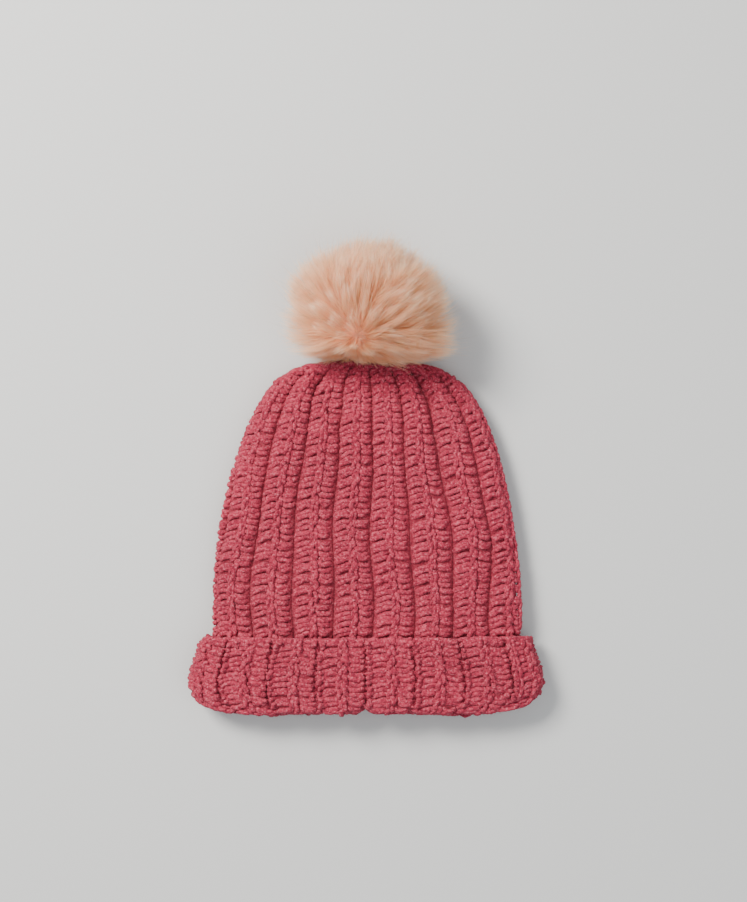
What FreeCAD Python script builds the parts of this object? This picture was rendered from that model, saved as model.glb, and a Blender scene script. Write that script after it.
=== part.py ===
import FreeCAD, Part
import math
import os

# A hand-crocheted ribbed beanie with a turned-up cuff and a faux-fur pompom, lying flat.
# Millimetres. +Z up out of the table, +Y from the mouth of the hat towards its crown, +X to the right.
# The origin is at the middle of the base of the whole object's box.
V = FreeCAD.Vector

# ---------------------------------------------------------------- driving dimensions
FABRIC = 4.8            # thickness of the crocheted fabric, over the crest of a rib
GAP = 0.3               # air between pieces that move past each other
FOLD_GAP = 0.75         # and between the fold and the cuff that turns round it
RIB_GAP = 0.15          # air left at each side of a rib, where its row is joined to the next
RIBS = 16               # ribs round the hat, two crochet rows each
FRONT_SHIFT = 4.4       # how far the first groove of the body stands right of the centre line
FRONT_SPREAD = 0.07     # cuff ribs are this much wider on the front than the mean
GROOVE_DEPTH = 2.1      # depth of the groove between two ribs
DIP_DEPTH = 0.7         # depth of the dips on either side of a rib's chain ridge
SECTION_POWER = 3.0     # squareness of the flattened tube's section

CROWN_Y = 76.0          # top edge of the crown
FOLD_Y = -147.6         # where wall and cuff turn round the fold, at the middle of the hat
BODY_HALF_W = 100.6     # half width of the body, laid flat
DOME_LENGTH = 160.0     # length over which the body narrows towards the crown
DOME_POWER, DOME_ROOT = 1.5, 4.2
WALL_HALF_H = 8.7       # half thickness of the two walls and the room between them, at the cuff
BODY_HALF_H = 10.4      # the same half way up the body, where it puffs out
CROWN_HALF_H = 8.0      # the same at the crown
CUFF_MID_Z = 14.1       # height of the mid plane at the cuff
BODY_MID_Z = 11.4       # and from the middle of the body to the crown

CUFF_TOP_Y = -102.0     # free edge of the turned-up cuff
CUFF_HALF_H = 14.0      # half thickness over all four layers
CUFF_TOP_HALF_W = 106.2
CUFF_WIDE_HALF_W = 115.5
CUFF_WIDE_Y = -133.0    # height at which the cuff flares widest
CORNER_LIFT = 10.0      # how far the fold rises at the two side corners
CORNER_POWER = 8
BACK_DROP = 2.5         # how much lower the back's fold lies than the front's
FOLD_CORE = 0.1         # a fold's inner radius as a share of its outer one
WALL_SHARES = (0.0, 0.33, 0.66)   # rows of the wall inside the cuff, from the fold to the cuff's edge

GATHER_HALF_W, GATHER_HALF_H = 10.0, 6.2   # the drawn-up hole at the top of the crown
GATHER_DIP = 4.5        # depth of that hole below the crown's top edge
YARN_R = 1.4            # radius of the worsted yarn

NECK = V(0, 78.0, 12.6)  # where the pompom's loop leaves the crown
POM_RISE = 41.0          # degrees that the pompom's axis rises out of the table
POM_REACH = 36.5         # from that point to the middle of the pompom
BALL_R = 27.0            # faux-fur skin drawn up round its stuffing
SKIN = 1.8               # thickness of the skin's backing
NECK_R, NECK_BORE, NECK_LENGTH = 4.6, 3.3, 5.5
THREAD_R = 0.9
LOOP_R, LOOP_HALF_GAP, LOOP_END = 1.0, 1.5, 9.0
BUTTON_R, BUTTON_T, BUTTON_Y = 4.8, 2.4, 62.5
BUTTON_HOLE_R = 1.5

os.makedirs("parts", exist_ok=True)


def save(name, solid):
    solid.exportStep("parts/" + name + ".step")


def smooth(t):
    t = min(1.0, max(0.0, t))
    return t * t * (3 - 2 * t)


# ---------------------------------------------------------------- the flattened tube
class Section:
    """A flattened tube's outline, walked by the fraction of its girth from the middle of the front."""

    STEPS = 80

    def __init__(self, half_w, half_h):
        e = 2.0 / SECTION_POWER
        self.at, self.run = [], [0.0]
        for i in range(self.STEPS + 1):
            a = 0.5 * math.pi * i / self.STEPS
            self.at.append((half_w * math.sin(a) ** e, half_h * max(math.cos(a), 0.0) ** e))
        for p, q in zip(self.at, self.at[1:]):
            self.run.append(self.run[-1] + math.hypot(q[0] - p[0], q[1] - p[1]))
        self.half_w, self.half_h = half_w, half_h

    def girth(self):
        return 4 * self.run[-1]

    def quarter(self, share):
        want, i = share * self.run[-1], 1
        while i < self.STEPS and self.run[i] < want:
            i += 1
        t = (want - self.run[i - 1]) / (self.run[i] - self.run[i - 1])
        (x0, z0), (x1, z1) = self.at[i - 1], self.at[i]
        return x0 + (x1 - x0) * t, z0 + (z1 - z0) * t

    def point(self, fraction):
        t = (fraction % 1.0) * 4
        side, share = int(t), t - int(t)
        x, z = self.quarter(share if side % 2 == 0 else 1 - share)
        return (x if side < 2 else -x), (z if side in (0, 3) else -z)

    def normal(self, x, z):
        k = SECTION_POWER - 1
        nx = math.copysign((abs(x) / self.half_w) ** k / self.half_w, x)
        nz = math.copysign((abs(z) / self.half_h) ** k / self.half_h, z)
        n = math.hypot(nx, nz)
        return nx / n, nz / n


def relief(across, width):
    """Depth below the crest at a place across a rib: a groove at each side, a chain ridge in the middle."""
    scale = min(1.0, width / 20.0)
    edge = abs(2 * across - 1)
    groove = GROOVE_DEPTH * edge ** 4
    dip = DIP_DEPTH * math.exp(-((abs(across - 0.5) - 0.13) / 0.05) ** 2)
    return scale * (groove + dip)


def brick(outer, inner):
    """A solid between two grids of points, closed by straight faces along all four sides."""
    top, low = Part.BSplineSurface(), Part.BSplineSurface()
    top.interpolate(outer)
    low.interpolate(inner)

    def border(s):
        u0, u1, v0, v1 = s.bounds()
        return [c.toShape() for c in (s.uIso(u0), s.uIso(u1), s.vIso(v0), s.vIso(v1))]

    faces = [top.toShape(), low.toShape()]
    faces += [Part.makeRuledSurface(a, b) for a, b in zip(border(top), border(low))]
    shell = Part.makeShell(faces)
    shell.sewShape()
    solid = Part.makeSolid(shell)
    if solid.Volume < 0:
        solid.reverse()
    solid.fix(1e-4, 1e-4, 1e-3)
    return solid


def tube(points, radius):
    """A round yarn or cord along a smooth line."""
    line = Part.BSplineCurve()
    line.interpolate(points)
    start = line.value(line.FirstParameter)
    along = line.tangent(line.FirstParameter)[0]
    ring = Part.Wire([Part.makeCircle(radius, start, along)])
    return Part.Wire([line.toShape()]).makePipeShell([ring], True, True)


# ---------------------------------------------------------------- walls of the hat
def body_half_w(s):
    """Half width of the body at a distance s below the crown's top edge."""
    t = max(0.0, 1 - s / DOME_LENGTH)
    return BODY_HALF_W * (1 - t ** DOME_POWER) ** (1 / DOME_ROOT)


def body_half_h(s):
    low = smooth((s - 110) / 60)
    high = smooth((45 - s) / 45)
    return BODY_HALF_H + (WALL_HALF_H - BODY_HALF_H) * low + (CROWN_HALF_H - BODY_HALF_H) * high


def mid_z(y):
    return CUFF_MID_Z + (BODY_MID_Z - CUFF_MID_Z) * smooth((y - CUFF_TOP_Y) / 60)


def fold_y(x, z):
    """The fold's own line rises towards the two side corners, and lies a little lower at the back."""
    lift = CORNER_LIFT * min(1.0, abs(x) / BODY_HALF_W) ** CORNER_POWER
    return FOLD_Y + lift - BACK_DROP * (0.5 - 0.5 * z / WALL_HALF_H)


def wall_stations():
    """(y, half width, half height) from the fold to the drawn-up hole, and the rows inside the cuff
    as shares of the way from the fold to the cuff's free edge instead of y."""
    rows = [(share, BODY_HALF_W, WALL_HALF_H) for share in WALL_SHARES]
    for s in (178, 160, 136, 112, 88, 66, 48, 34, 22, 13, 7, 3):
        rows.append((CROWN_Y - s, body_half_w(s), body_half_h(s)))
    rows.append((CROWN_Y - 1.0, 30.0, 7.4))
    rows.append((CROWN_Y - 1.2, 19.0, 6.4))
    rows.append((CROWN_Y - GATHER_DIP, GATHER_HALF_W, GATHER_HALF_H))
    return rows


def wall_grids(f0, f1, across=17):
    rows = wall_stations()
    low_rows = len(WALL_SHARES)
    outer, inner = [], []
    for j, (y, half_w, half_h) in enumerate(rows):
        n_r, n_y = 1.0, 0.0
        if j > low_rows:
            below, above = rows[j - 1], rows[min(len(rows) - 1, j + 1)]
            rise, shrink = above[0] - below[0], above[1] - below[1]
            size = math.hypot(rise, shrink)
            if -shrink / size > 0.02:
                n_r, n_y = rise / size, -shrink / size
        out = Section(half_w, half_h)
        low = Section(half_w - FABRIC * n_r, half_h - FABRIC * max(n_r, 0.55))
        width = abs(f1 - f0) * out.girth()
        pad = RIB_GAP / out.girth()
        top_row, low_row = [], []
        for i in range(across):
            a = i / (across - 1)
            f = f0 + pad + (f1 - f0 - 2 * pad) * a
            x, z = out.point(f)
            nx, nz = out.normal(x, z)
            d = relief(a, width)
            at = y
            if j < low_rows:
                start = fold_y(x, z)
                at = start + (CUFF_TOP_Y - start) * y
            zc = mid_z(at)
            top_row.append(V(x - d * nx * n_r, at - d * n_y, zc + z - d * nz * n_r))
            xi, zi = low.point(f)
            low_row.append(V(xi, at - FABRIC * n_y, zc + zi))
        outer.append(top_row)
        inner.append(low_row)
    return outer, inner


def wall_fraction(k):
    """Girth fraction of the groove numbered k, counted from the middle of the front."""
    return k / RIBS + FRONT_SHIFT / Section(BODY_HALF_W, WALL_HALF_H).girth()


for k in range(RIBS):
    n = k - RIBS // 4
    side = "front" if k < RIBS // 2 else "back"
    name = "%s_rib_%d" % (side, k % (RIBS // 2) + 1)
    save(name, brick(*wall_grids(wall_fraction(n), wall_fraction(n + 1))))


# ---------------------------------------------------------------- the turned-up cuff
def cuff_half_w(y):
    if y > CUFF_WIDE_Y:
        t = (y - CUFF_WIDE_Y) / (CUFF_TOP_Y - CUFF_WIDE_Y)
        return CUFF_WIDE_HALF_W - (CUFF_WIDE_HALF_W - CUFF_TOP_HALF_W) * t ** 1.4
    t = (CUFF_WIDE_Y - y) / (CUFF_WIDE_Y - FOLD_Y)
    return CUFF_WIDE_HALF_W - (CUFF_WIDE_HALF_W - CUFF_TOP_HALF_W - 2.0) * t ** 2


def cuff_fraction(k):
    wave = 2 * math.pi / RIBS
    return (k + FRONT_SPREAD * math.sin(wave * k) / wave) / RIBS


def cuff_grids(f0, f1, pad_mm, across=17):
    outer, inner = [], []
    steps = 6
    for j in range(steps + 1):
        top_row, low_row = [], []
        for i in range(across):
            a = i / (across - 1)
            mid = Section(BODY_HALF_W, WALL_HALF_H).point(f0 + (f1 - f0) * a)
            start = fold_y(*mid) + GAP
            y = start + (CUFF_TOP_Y - start) * j / steps
            out = Section(cuff_half_w(y), CUFF_HALF_H)
            low = Section(cuff_half_w(y) - FABRIC, CUFF_HALF_H - FABRIC)
            pad = pad_mm / out.girth()
            f = f0 + pad + (f1 - f0 - 2 * pad) * a
            x, z = out.point(f)
            nx, nz = out.normal(x, z)
            d = relief(a, abs(f1 - f0) * out.girth())
            top_row.append(V(x - d * nx, y, CUFF_MID_Z + z - d * nz))
            xi, zi = low.point(f)
            low_row.append(V(xi, y, CUFF_MID_Z + zi))
        outer.append(top_row)
        inner.append(low_row)
    return outer, inner


PANEL = 3               # grooves from the middle of a face to the end of its flat panel
for side, first in (("front", -PANEL), ("back", RIBS // 2 - PANEL)):
    for k in range(2 * PANEL):
        f0, f1 = cuff_fraction(first + k), cuff_fraction(first + k + 1)
        save("cuff_%s_rib_%d" % (side, k + 1), brick(*cuff_grids(f0, f1, GAP)))
for side, first in (("right", PANEL), ("left", RIBS - PANEL - 2)):
    for k in range(2):
        f0, f1 = cuff_fraction(first + k), cuff_fraction(first + k + 1)
        save("cuff_%s_rib_%d" % (side, k + 1), brick(*cuff_grids(f0, f1, GAP)))


# ---------------------------------------------------------------- the fold between wall and cuff
def fold_grids(f0, f1, across, around=9):
    wall = Section(BODY_HALF_W - FABRIC, WALL_HALF_H - FABRIC)
    mid = Section(BODY_HALF_W, WALL_HALF_H)
    outer, inner = [], []
    for i in range(across):
        f = f0 + (f1 - f0) * i / (across - 1)
        y = fold_y(*mid.point(f)) - FOLD_GAP
        xi, zi = wall.point(f)
        xo, zo = Section(cuff_half_w(y), CUFF_HALF_H).point(f)
        cx, cz, dx, dz = (xi + xo) / 2, (zi + zo) / 2, (xo - xi) / 2, (zo - zi) / 2
        reach = math.hypot(dx, dz) * 0.98
        rows = []
        for k in (0.98, FOLD_CORE):
            row = []
            for j in range(around):
                a = math.pi * (j / (around - 1) - 0.5)
                row.append(V(cx + dx * k * math.sin(a), y - reach * k * math.cos(a) * 0.95,
                             CUFF_MID_Z + cz + dz * k * math.sin(a)))
            rows.append(row)
        outer.append(rows[0])
        inner.append(rows[1])
    return outer, inner


for name, first, last, across in (
    ("fold_front", -PANEL, PANEL, 19), ("fold_right", PANEL, PANEL + 2, 25),
    ("fold_back", PANEL + 2, RIBS - PANEL - 2, 19), ("fold_left", RIBS - PANEL - 2, RIBS - PANEL, 25),
):
    pad = RIB_GAP / Section(CUFF_TOP_HALF_W, CUFF_HALF_H).girth()
    f0, f1 = cuff_fraction(first) + pad, cuff_fraction(last) - pad
    save(name, brick(*fold_grids(f0, f1, across)))


# ---------------------------------------------------------------- seam, crown and pompom fixings
seam = []
for s in (168, 140, 110, 84, 60, 40, 27, 19):
    slope = body_half_w(s + 1) - body_half_w(s - 1)
    size = math.hypot(2.0, slope)
    out = YARN_R + 0.15
    y = CROWN_Y - s
    seam.append(V(body_half_w(s) + out * 2.0 / size, y + out * slope / size, mid_z(y)))
save("side_seam", tube(seam, YARN_R))

SEAM_INSET = 4.5        # the cuff's seam lies this far round the corner from its last groove
cuff_seam = []
for j in range(6):
    y = CUFF_TOP_Y - 1.6 + (FOLD_Y + 5.0 - CUFF_TOP_Y) * j / 5
    out = Section(cuff_half_w(y), CUFF_HALF_H)
    x, z = out.point(cuff_fraction(PANEL) + SEAM_INSET / out.girth())
    nx, nz = out.normal(x, z)
    over = YARN_R + 0.15
    cuff_seam.append(V(x + nx * over, y, CUFF_MID_Z + z + nz * over))
save("cuff_seam", tube(cuff_seam, YARN_R))

gather = []
TURNS, PER_TURN = 1.5, 16
for i in range(int(TURNS * PER_TURN) + 1):
    a = 2 * math.pi * i / PER_TURN
    drop = 2 * YARN_R * 1.08 * i / PER_TURN
    gather.append(V((GATHER_HALF_W - 2.4) * math.cos(a), CROWN_Y - GATHER_DIP + 3.4 - drop,
                    BODY_MID_Z + (GATHER_HALF_H - 2.9) * math.sin(a)))
save("crown_gather_yarn", tube(gather, YARN_R))

button = Part.makeCylinder(BUTTON_R, BUTTON_T, V(0, BUTTON_Y, BODY_MID_Z), V(0, 1, 0))
for side in (-1, 1):
    button = button.cut(Part.makeCylinder(BUTTON_HOLE_R, 3 * BUTTON_T,
                        V(side * LOOP_HALF_GAP * 1.35, BUTTON_Y - BUTTON_T, BODY_MID_Z), V(0, 1, 0)))
button = button.makeFillet(0.5, [e for e in button.Edges if e.Curve.TypeId == "Part::GeomCircle"
                                 and e.Curve.Radius > BUTTON_R - 0.1])
save("anchor_button", button)

rise = math.radians(POM_RISE)
axis = V(0, math.cos(rise), math.sin(rise))
centre = NECK + axis * POM_REACH

loop = []
half = LOOP_HALF_GAP * 1.35
for x, y, z in ((-half, BUTTON_Y + 4.2, BODY_MID_Z), (-half, BUTTON_Y - 0.4, BODY_MID_Z),
                (-half * 0.55, BUTTON_Y - 2.3, BODY_MID_Z), (half * 0.55, BUTTON_Y - 2.3, BODY_MID_Z),
                (half, BUTTON_Y - 0.4, BODY_MID_Z), (half, BUTTON_Y + 4.2, BODY_MID_Z)):
    loop.append(V(x, y, z))
tips = [NECK + axis * d for d in (-1.0, 3.0, LOOP_END)]
left = [V(-LOOP_HALF_GAP, p.y, p.z) for p in tips]
right = [V(LOOP_HALF_GAP, p.y, p.z) for p in tips]
save("elastic_loop", tube(list(reversed(left)) + loop + right, LOOP_R))

turn = FreeCAD.Rotation(V(0, 0, 1), axis)
place = FreeCAD.Placement(centre, turn)


skin_outer = Part.makeSphere(BALL_R).fuse(Part.makeCylinder(NECK_R, NECK_LENGTH + 2, V(0, 0, -BALL_R - NECK_LENGTH + 1)))
skin_inner = Part.makeSphere(BALL_R - SKIN).fuse(
    Part.makeCylinder(NECK_BORE, NECK_LENGTH + 8, V(0, 0, -BALL_R - NECK_LENGTH)))
skin = skin_outer.cut(skin_inner)
skin.Placement = place
save("fur_skin", skin)

filling = Part.makeSphere(BALL_R - SKIN - 0.2)
filling = filling.cut(Part.makeCylinder(NECK_BORE + 0.3, 8, V(0, 0, -BALL_R - 1)))
filling.Placement = place
save("fibre_filling", filling)

thread = Part.makeTorus(NECK_R + THREAD_R + 0.1, THREAD_R, V(0, 0, -BALL_R - NECK_LENGTH * 0.42))
thread.Placement = place
save("gather_thread", thread)

# The pile of the fur: how wide and how deep it stands at stations along Y, laid on the table.
LOBES, LOBE_SIZE = 7, 0.03
pile_rows = (
    (67.0, 20, 39, 15), (70.5, 38, 41, 25), (76, 50, 42, 34), (84, 54, 42, 40), (96, 53, 41.5, 41.3),
    (108, 51, 41.3, 41.3), (120, 48, 41, 40), (132, 42, 40, 37), (143, 33.5, 38, 29), (150, 24, 36, 20.5),
    (156.2, 12, 35, 10),
)
wires = []
for j, (y, half_w, z, half_h) in enumerate(pile_rows):
    ring = []
    for i in range(28):
        a = 2 * math.pi * i / 28
        k = 1 - LOBE_SIZE * (0.5 + 0.5 * math.cos(LOBES * a + 0.7 * j))
        ring.append(V(half_w * k * math.cos(a), y, z + half_h * k * math.sin(a)))
    line = Part.BSplineCurve()
    line.interpolate(ring, PeriodicFlag=True)
    wires.append(Part.Wire([line.toShape()]))
pile = Part.makeLoft(wires, True, False)
hollow = Part.makeSphere(BALL_R + 0.1)
hollow = hollow.fuse(Part.makeCylinder(NECK_R + 2 * THREAD_R + 0.9, 30, V(0, 0, -BALL_R - 28)))
hollow.Placement = place
crown_room = Part.makeBox(200, 60, 40, V(-100, CROWN_Y + 1.2 - 60, -18.6))
pile = pile.cut(hollow).cut(crown_room)
pile = max(pile.Solids, key=lambda s: s.Volume)
save("fur_pile", pile)
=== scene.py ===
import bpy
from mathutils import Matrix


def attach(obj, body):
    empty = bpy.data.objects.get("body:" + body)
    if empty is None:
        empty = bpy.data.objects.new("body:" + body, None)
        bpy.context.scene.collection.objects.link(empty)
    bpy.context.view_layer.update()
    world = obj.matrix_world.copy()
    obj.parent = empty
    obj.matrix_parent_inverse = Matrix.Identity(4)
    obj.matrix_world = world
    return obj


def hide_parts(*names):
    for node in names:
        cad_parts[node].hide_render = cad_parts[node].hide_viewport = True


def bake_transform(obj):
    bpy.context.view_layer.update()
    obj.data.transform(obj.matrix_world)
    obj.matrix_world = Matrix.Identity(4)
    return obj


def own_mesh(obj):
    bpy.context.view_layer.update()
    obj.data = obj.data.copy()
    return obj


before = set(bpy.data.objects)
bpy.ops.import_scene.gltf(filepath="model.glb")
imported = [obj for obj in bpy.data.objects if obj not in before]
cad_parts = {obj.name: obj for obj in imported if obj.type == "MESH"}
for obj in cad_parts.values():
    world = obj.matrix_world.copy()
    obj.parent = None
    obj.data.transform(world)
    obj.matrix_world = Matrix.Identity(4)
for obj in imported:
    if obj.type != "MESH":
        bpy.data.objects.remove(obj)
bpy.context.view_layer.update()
import copy
import math

import bpy
import numpy as np
from mathutils import Vector

MM = 0.001

# ---------------------------------------------------------------- the hat's own dimensions, in millimetres
RIBS = 16
FABRIC = 4.8                     # thickness of the crocheted fabric over a rib
YARN_R = 1.66                    # radius of the worsted yarn
PITCH = 6.95                     # one stitch along a rib
CROWN_Y, FOLD_Y, CUFF_TOP_Y = 76.0, -147.6, -102.0
BODY_W, WALL_H, BODY_H, CROWN_H = 100.6, 8.9, 10.4, 8.0   # half widths (W) and half thicknesses (H)
CUFF_MID_Z, BODY_MID_Z = 14.1, 11.4
CUFF_H, CUFF_TOP_W, CUFF_WIDE_W, CUFF_WIDE_Y = 13.9, 106.2, 115.5, -133.0
CORNER_LIFT, CORNER_POWER = 12.5, 7   # how far the fold rises at its two corners, and how suddenly
BACK_DROP = 2.5                  # how much lower the back's fold lies than the front's
DOME_LENGTH, DOME_POWER, DOME_ROOT = 160.0, 1.5, 4.2   # the body's narrowing towards the crown
FRONT_SPREAD = 0.07              # cuff ribs are this much wider on the front than the mean
FRONT_SHIFT = 4.4                # how far the first groove of the body stands right of the middle
SWAY = 0.045                     # how far ribs wander sideways, as a share of a rib
EDGE_R = 2.4                     # half the thickness of the cuff's rounded free edge
POM = np.array([0.0, 105.55, 36.55])   # the middle of the pompom
POM_RISE = math.radians(41)      # its axis rises out of the table by this much
AXIS = np.array([0.0, math.cos(POM_RISE), math.sin(POM_RISE)])
BALL_R = 27.0                    # the pompom's stuffed skin


def smooth(t):
    t = np.clip(t, 0, 1)
    return t * t * (3 - 2 * t)


def waves(seed, n, p, scale):
    """Smooth noise about zero from a few seeded waves; p is (..., d), scale the shortest wavelength."""
    r = np.random.default_rng(seed)
    k = r.normal(size=(n, p.shape[-1]))
    k *= (2 * math.pi / scale) * (r.uniform(0.35, 1.0, (n, 1)) / np.linalg.norm(k, axis=1, keepdims=True))
    return np.sin(p @ k.T + r.uniform(0, 6.28, n)).sum(-1) / math.sqrt(n)


# ---------------------------------------------------------------- flattened tube sections
def section(w, h, frac, power=3.0, steps=160):
    """Points (x, z) of a flattened tube by the fraction of its girth from the middle of the front."""
    a = 0.5 * math.pi * np.linspace(0, 1, steps + 1)
    x = w * np.sin(a) ** (2 / power)
    z = h * np.maximum(np.cos(a), 0) ** (2 / power)
    run = np.concatenate([[0], np.cumsum(np.hypot(np.diff(x), np.diff(z)))])
    t = (np.asarray(frac) % 1.0) * 4
    side = np.minimum(t.astype(int), 3)
    share = t - side
    share = np.where(side % 2 == 0, share, 1 - share) * run[-1]
    px, pz = np.interp(share, run, x), np.interp(share, run, z)
    return np.where(side < 2, px, -px), np.where((side == 0) | (side == 3), pz, -pz), 4 * run[-1]


def mid_z(y):
    return CUFF_MID_Z + (BODY_MID_Z - CUFF_MID_Z) * smooth((y - CUFF_TOP_Y) / 60)


def fold_y(x, z):
    """Where the fold lies along the hat: higher at its corners, lower at the back."""
    rise = CORNER_LIFT * np.minimum(1, np.abs(x) / BODY_W) ** CORNER_POWER
    return FOLD_Y + rise - BACK_DROP * (0.5 - 0.5 * z / WALL_H)


def body_w(s):
    """The body's half width at s below the crown's top."""
    return BODY_W * (1 - np.maximum(0, 1 - s / DOME_LENGTH) ** DOME_POWER) ** (1 / DOME_ROOT)


def body_h(s):
    return BODY_H + (WALL_H - BODY_H) * smooth((s - 110) / 60) + (CROWN_H - BODY_H) * smooth((45 - s) / 45)


def cuff_w(y):
    """The cuff's half width: it flares from its free edge and draws in again at the fold."""
    up = np.clip((y - CUFF_WIDE_Y) / (CUFF_TOP_Y - CUFF_WIDE_Y), 0, 1)
    down = np.clip((CUFF_WIDE_Y - y) / (CUFF_WIDE_Y - FOLD_Y), 0, 1.2)
    wide = CUFF_WIDE_W - (CUFF_WIDE_W - CUFF_TOP_W) * up ** 1.4
    return np.where(y > CUFF_WIDE_Y, wide, CUFF_WIDE_W - (CUFF_WIDE_W - CUFF_TOP_W - 2.0) * down ** 2)


def cuff_fraction(u):
    k = 2 * math.pi / RIBS
    return (u + FRONT_SPREAD * np.sin(k * u) / k) / RIBS


GIRTH = section(BODY_W, WALL_H, 0.0)[2]


def wall_fraction(u):
    return u / RIBS + FRONT_SHIFT / GIRTH


def sway(u, y):
    """How far the ribs wander sideways, as a fraction of the girth."""
    a = 2 * math.pi * u / RIBS
    wander = np.sin(y / 21.0 + 2 * a) + 0.7 * np.sin(y / 12.0 - 3 * a + 1.3) + 0.6 * np.sin(5 * a + y / 35)
    return SWAY / RIBS * wander


PER_RIB = 20                     # grid columns to a rib
NU = RIBS * PER_RIB
U = np.linspace(0, RIBS, NU, endpoint=False)


def normals(p):
    du = np.roll(p, -1, 1) - np.roll(p, 1, 1)
    dv = np.gradient(p, axis=0)
    n = np.cross(du, dv)
    return n / np.maximum(np.linalg.norm(n, axis=2, keepdims=True), 1e-9)


def by_length(rows, step, at):
    """The rows again, evenly spaced along the path that they make, measured at the columns in at."""
    d = np.linalg.norm(np.diff(rows[:, at], axis=0), axis=2).mean(1)
    run = np.concatenate([[0], np.cumsum(d)])
    n = int(run[-1] / step)
    want = np.linspace(0, run[-1], n + 1)
    i = np.clip(np.searchsorted(run, want) - 1, 0, len(run) - 2)
    t = ((want - run[i]) / np.maximum(run[i + 1] - run[i], 1e-9))[:, None, None]
    return rows[i] * (1 - t) + rows[i + 1] * t, run[-1] / n, run


ROW_STEP = 1.2                   # spacing of the grid's rows


class Sheet:
    """One face of the fabric as a grid of points, rows along a rib and columns round the hat."""

    def __init__(self, rows, at):
        self.p, self.step, self.run = by_length(np.array(rows), ROW_STEP, at)
        for _ in range(2):
            self.p[1:-1] = (self.p[:-2] + 2 * self.p[1:-1] + self.p[2:]) / 4
        self.n = normals(self.p)
        self.length = self.step * (len(self.p) - 1)

    def push(self, d):
        """Moves the face out by d at each of its points."""
        self.p = self.p + self.n * d[..., None]
        self.n = normals(self.p)

    def unevenness(self, seed, count, scale):
        """Soft noise over the face, with no step where its columns meet, and the place along each rib."""
        v, u = np.meshgrid(np.arange(len(self.p)) * self.step, U, indexing="ij")
        a = u / RIBS * 2 * math.pi
        return waves(seed, count, np.stack([np.cos(a) * 60, np.sin(a) * 60, v], 2), scale), v

    def at(self, u, v, d):
        """The point at rib coordinate u, v millimetres along and d above the face."""
        x, y = (u % RIBS) / RIBS * NU, np.clip(v / self.step, 0, len(self.p) - 1.001)
        i, j = np.floor(y).astype(int), np.floor(x).astype(int) % NU
        a, b = (y - i)[..., None], (x - np.floor(x))[..., None]
        k = (j + 1) % NU

        def mix(g):
            return (g[i, j] * (1 - b) + g[i, k] * b) * (1 - a) + (g[i + 1, j] * (1 - b) + g[i + 1, k] * b) * a

        n = mix(self.n)
        return mix(self.p) + n / np.linalg.norm(n, axis=-1, keepdims=True) * d[..., None]


def wall_rows():
    """The wall's outer face, from the fold to the drawn-up crown and down into its hole."""
    f = wall_fraction(U)
    x, z, _ = section(BODY_W, WALL_H, f)
    rows = [np.stack([x, fold_y(x, z), CUFF_MID_Z + z], 1)]
    for s in np.concatenate([np.linspace(213, 60, 90), np.linspace(58, 10, 60), np.linspace(9.4, 2.4, 16)]):
        loose = smooth((213 - s) / 50) * smooth((s - 2) / 20)
        x, z, _ = section(body_w(s), body_h(s), f + sway(U, s) * loose)
        y = CROWN_Y - s
        rows.append(np.stack([x, np.full(NU, y), mid_z(y) + z], 1))
    for s, w, h in ((1.3, 34.0, 7.6), (0.6, 27.0, 7.1), (0.7, 20.0, 6.5), (2.0, 14.5, 6.0), (4.5, 10.0, 5.6)):
        x, z, _ = section(w, h, f)
        rows.append(np.stack([x, np.full(NU, CROWN_Y - s), BODY_MID_Z + z], 1))
    return rows


WALL = Sheet(wall_rows(), list(range(0, NU, PER_RIB)))
px, py = WALL.p[..., 0], WALL.p[..., 1]
front = smooth((WALL.p[..., 2] - mid_z(py)) / 5)


def trough(x0, y0, x1, y1, width):
    """1 along a line in plan, falling away from it."""
    dx, dy = x1 - x0, y1 - y0
    t = np.clip(((px - x0) * dx + (py - y0) * dy) / (dx * dx + dy * dy), 0, 1)
    return np.exp(-(((px - x0 - t * dx) ** 2 + (py - y0 - t * dy) ** 2) / width ** 2))


# Pulls and hollows of the front, where it settles under the crown: each is a height times a trough.
dents = (-2.2 * trough(8, 20, 12, -28, 15) - 3.4 * trough(-29, 66, -23, 46, 7)
         - 3.0 * trough(36, 64, 49, 30, 6) + 1.6 * trough(-2, 68, 4, 46, 13)
         + 1.1 * trough(60, 40, 78, -40, 12) + 0.9 * trough(-60, 40, -80, -40, 12))
under_cuff = 1 - smooth((CUFF_TOP_Y + 6 - py) / 10)
WALL.push((WALL.unevenness(3, 14, 46)[0] * 0.65 * 0.9 + dents * front) * under_cuff)


def cuff_face(y):
    """The cuff's outer face (x, z) at each column's own y."""
    x, z = np.zeros(NU), np.zeros(NU)
    for i in range(NU):
        a, b, _ = section(float(cuff_w(y[i])), CUFF_H, cuff_columns[i:i + 1])
        x[i], z[i] = a[0], b[0]
    return x, z


# Both ends of the fold at each column: on the wall's inner face and on the cuff's outer one.
INSIDE = 30.0                    # depth of the strip inside the mouth
cuff_columns = cuff_fraction(U)
fold_line = fold_y(*section(BODY_W, WALL_H, cuff_columns)[:2])
in_x, in_z, _ = section(BODY_W - FABRIC, WALL_H - FABRIC, cuff_columns)
out_x, out_z = cuff_face(fold_line)


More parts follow.
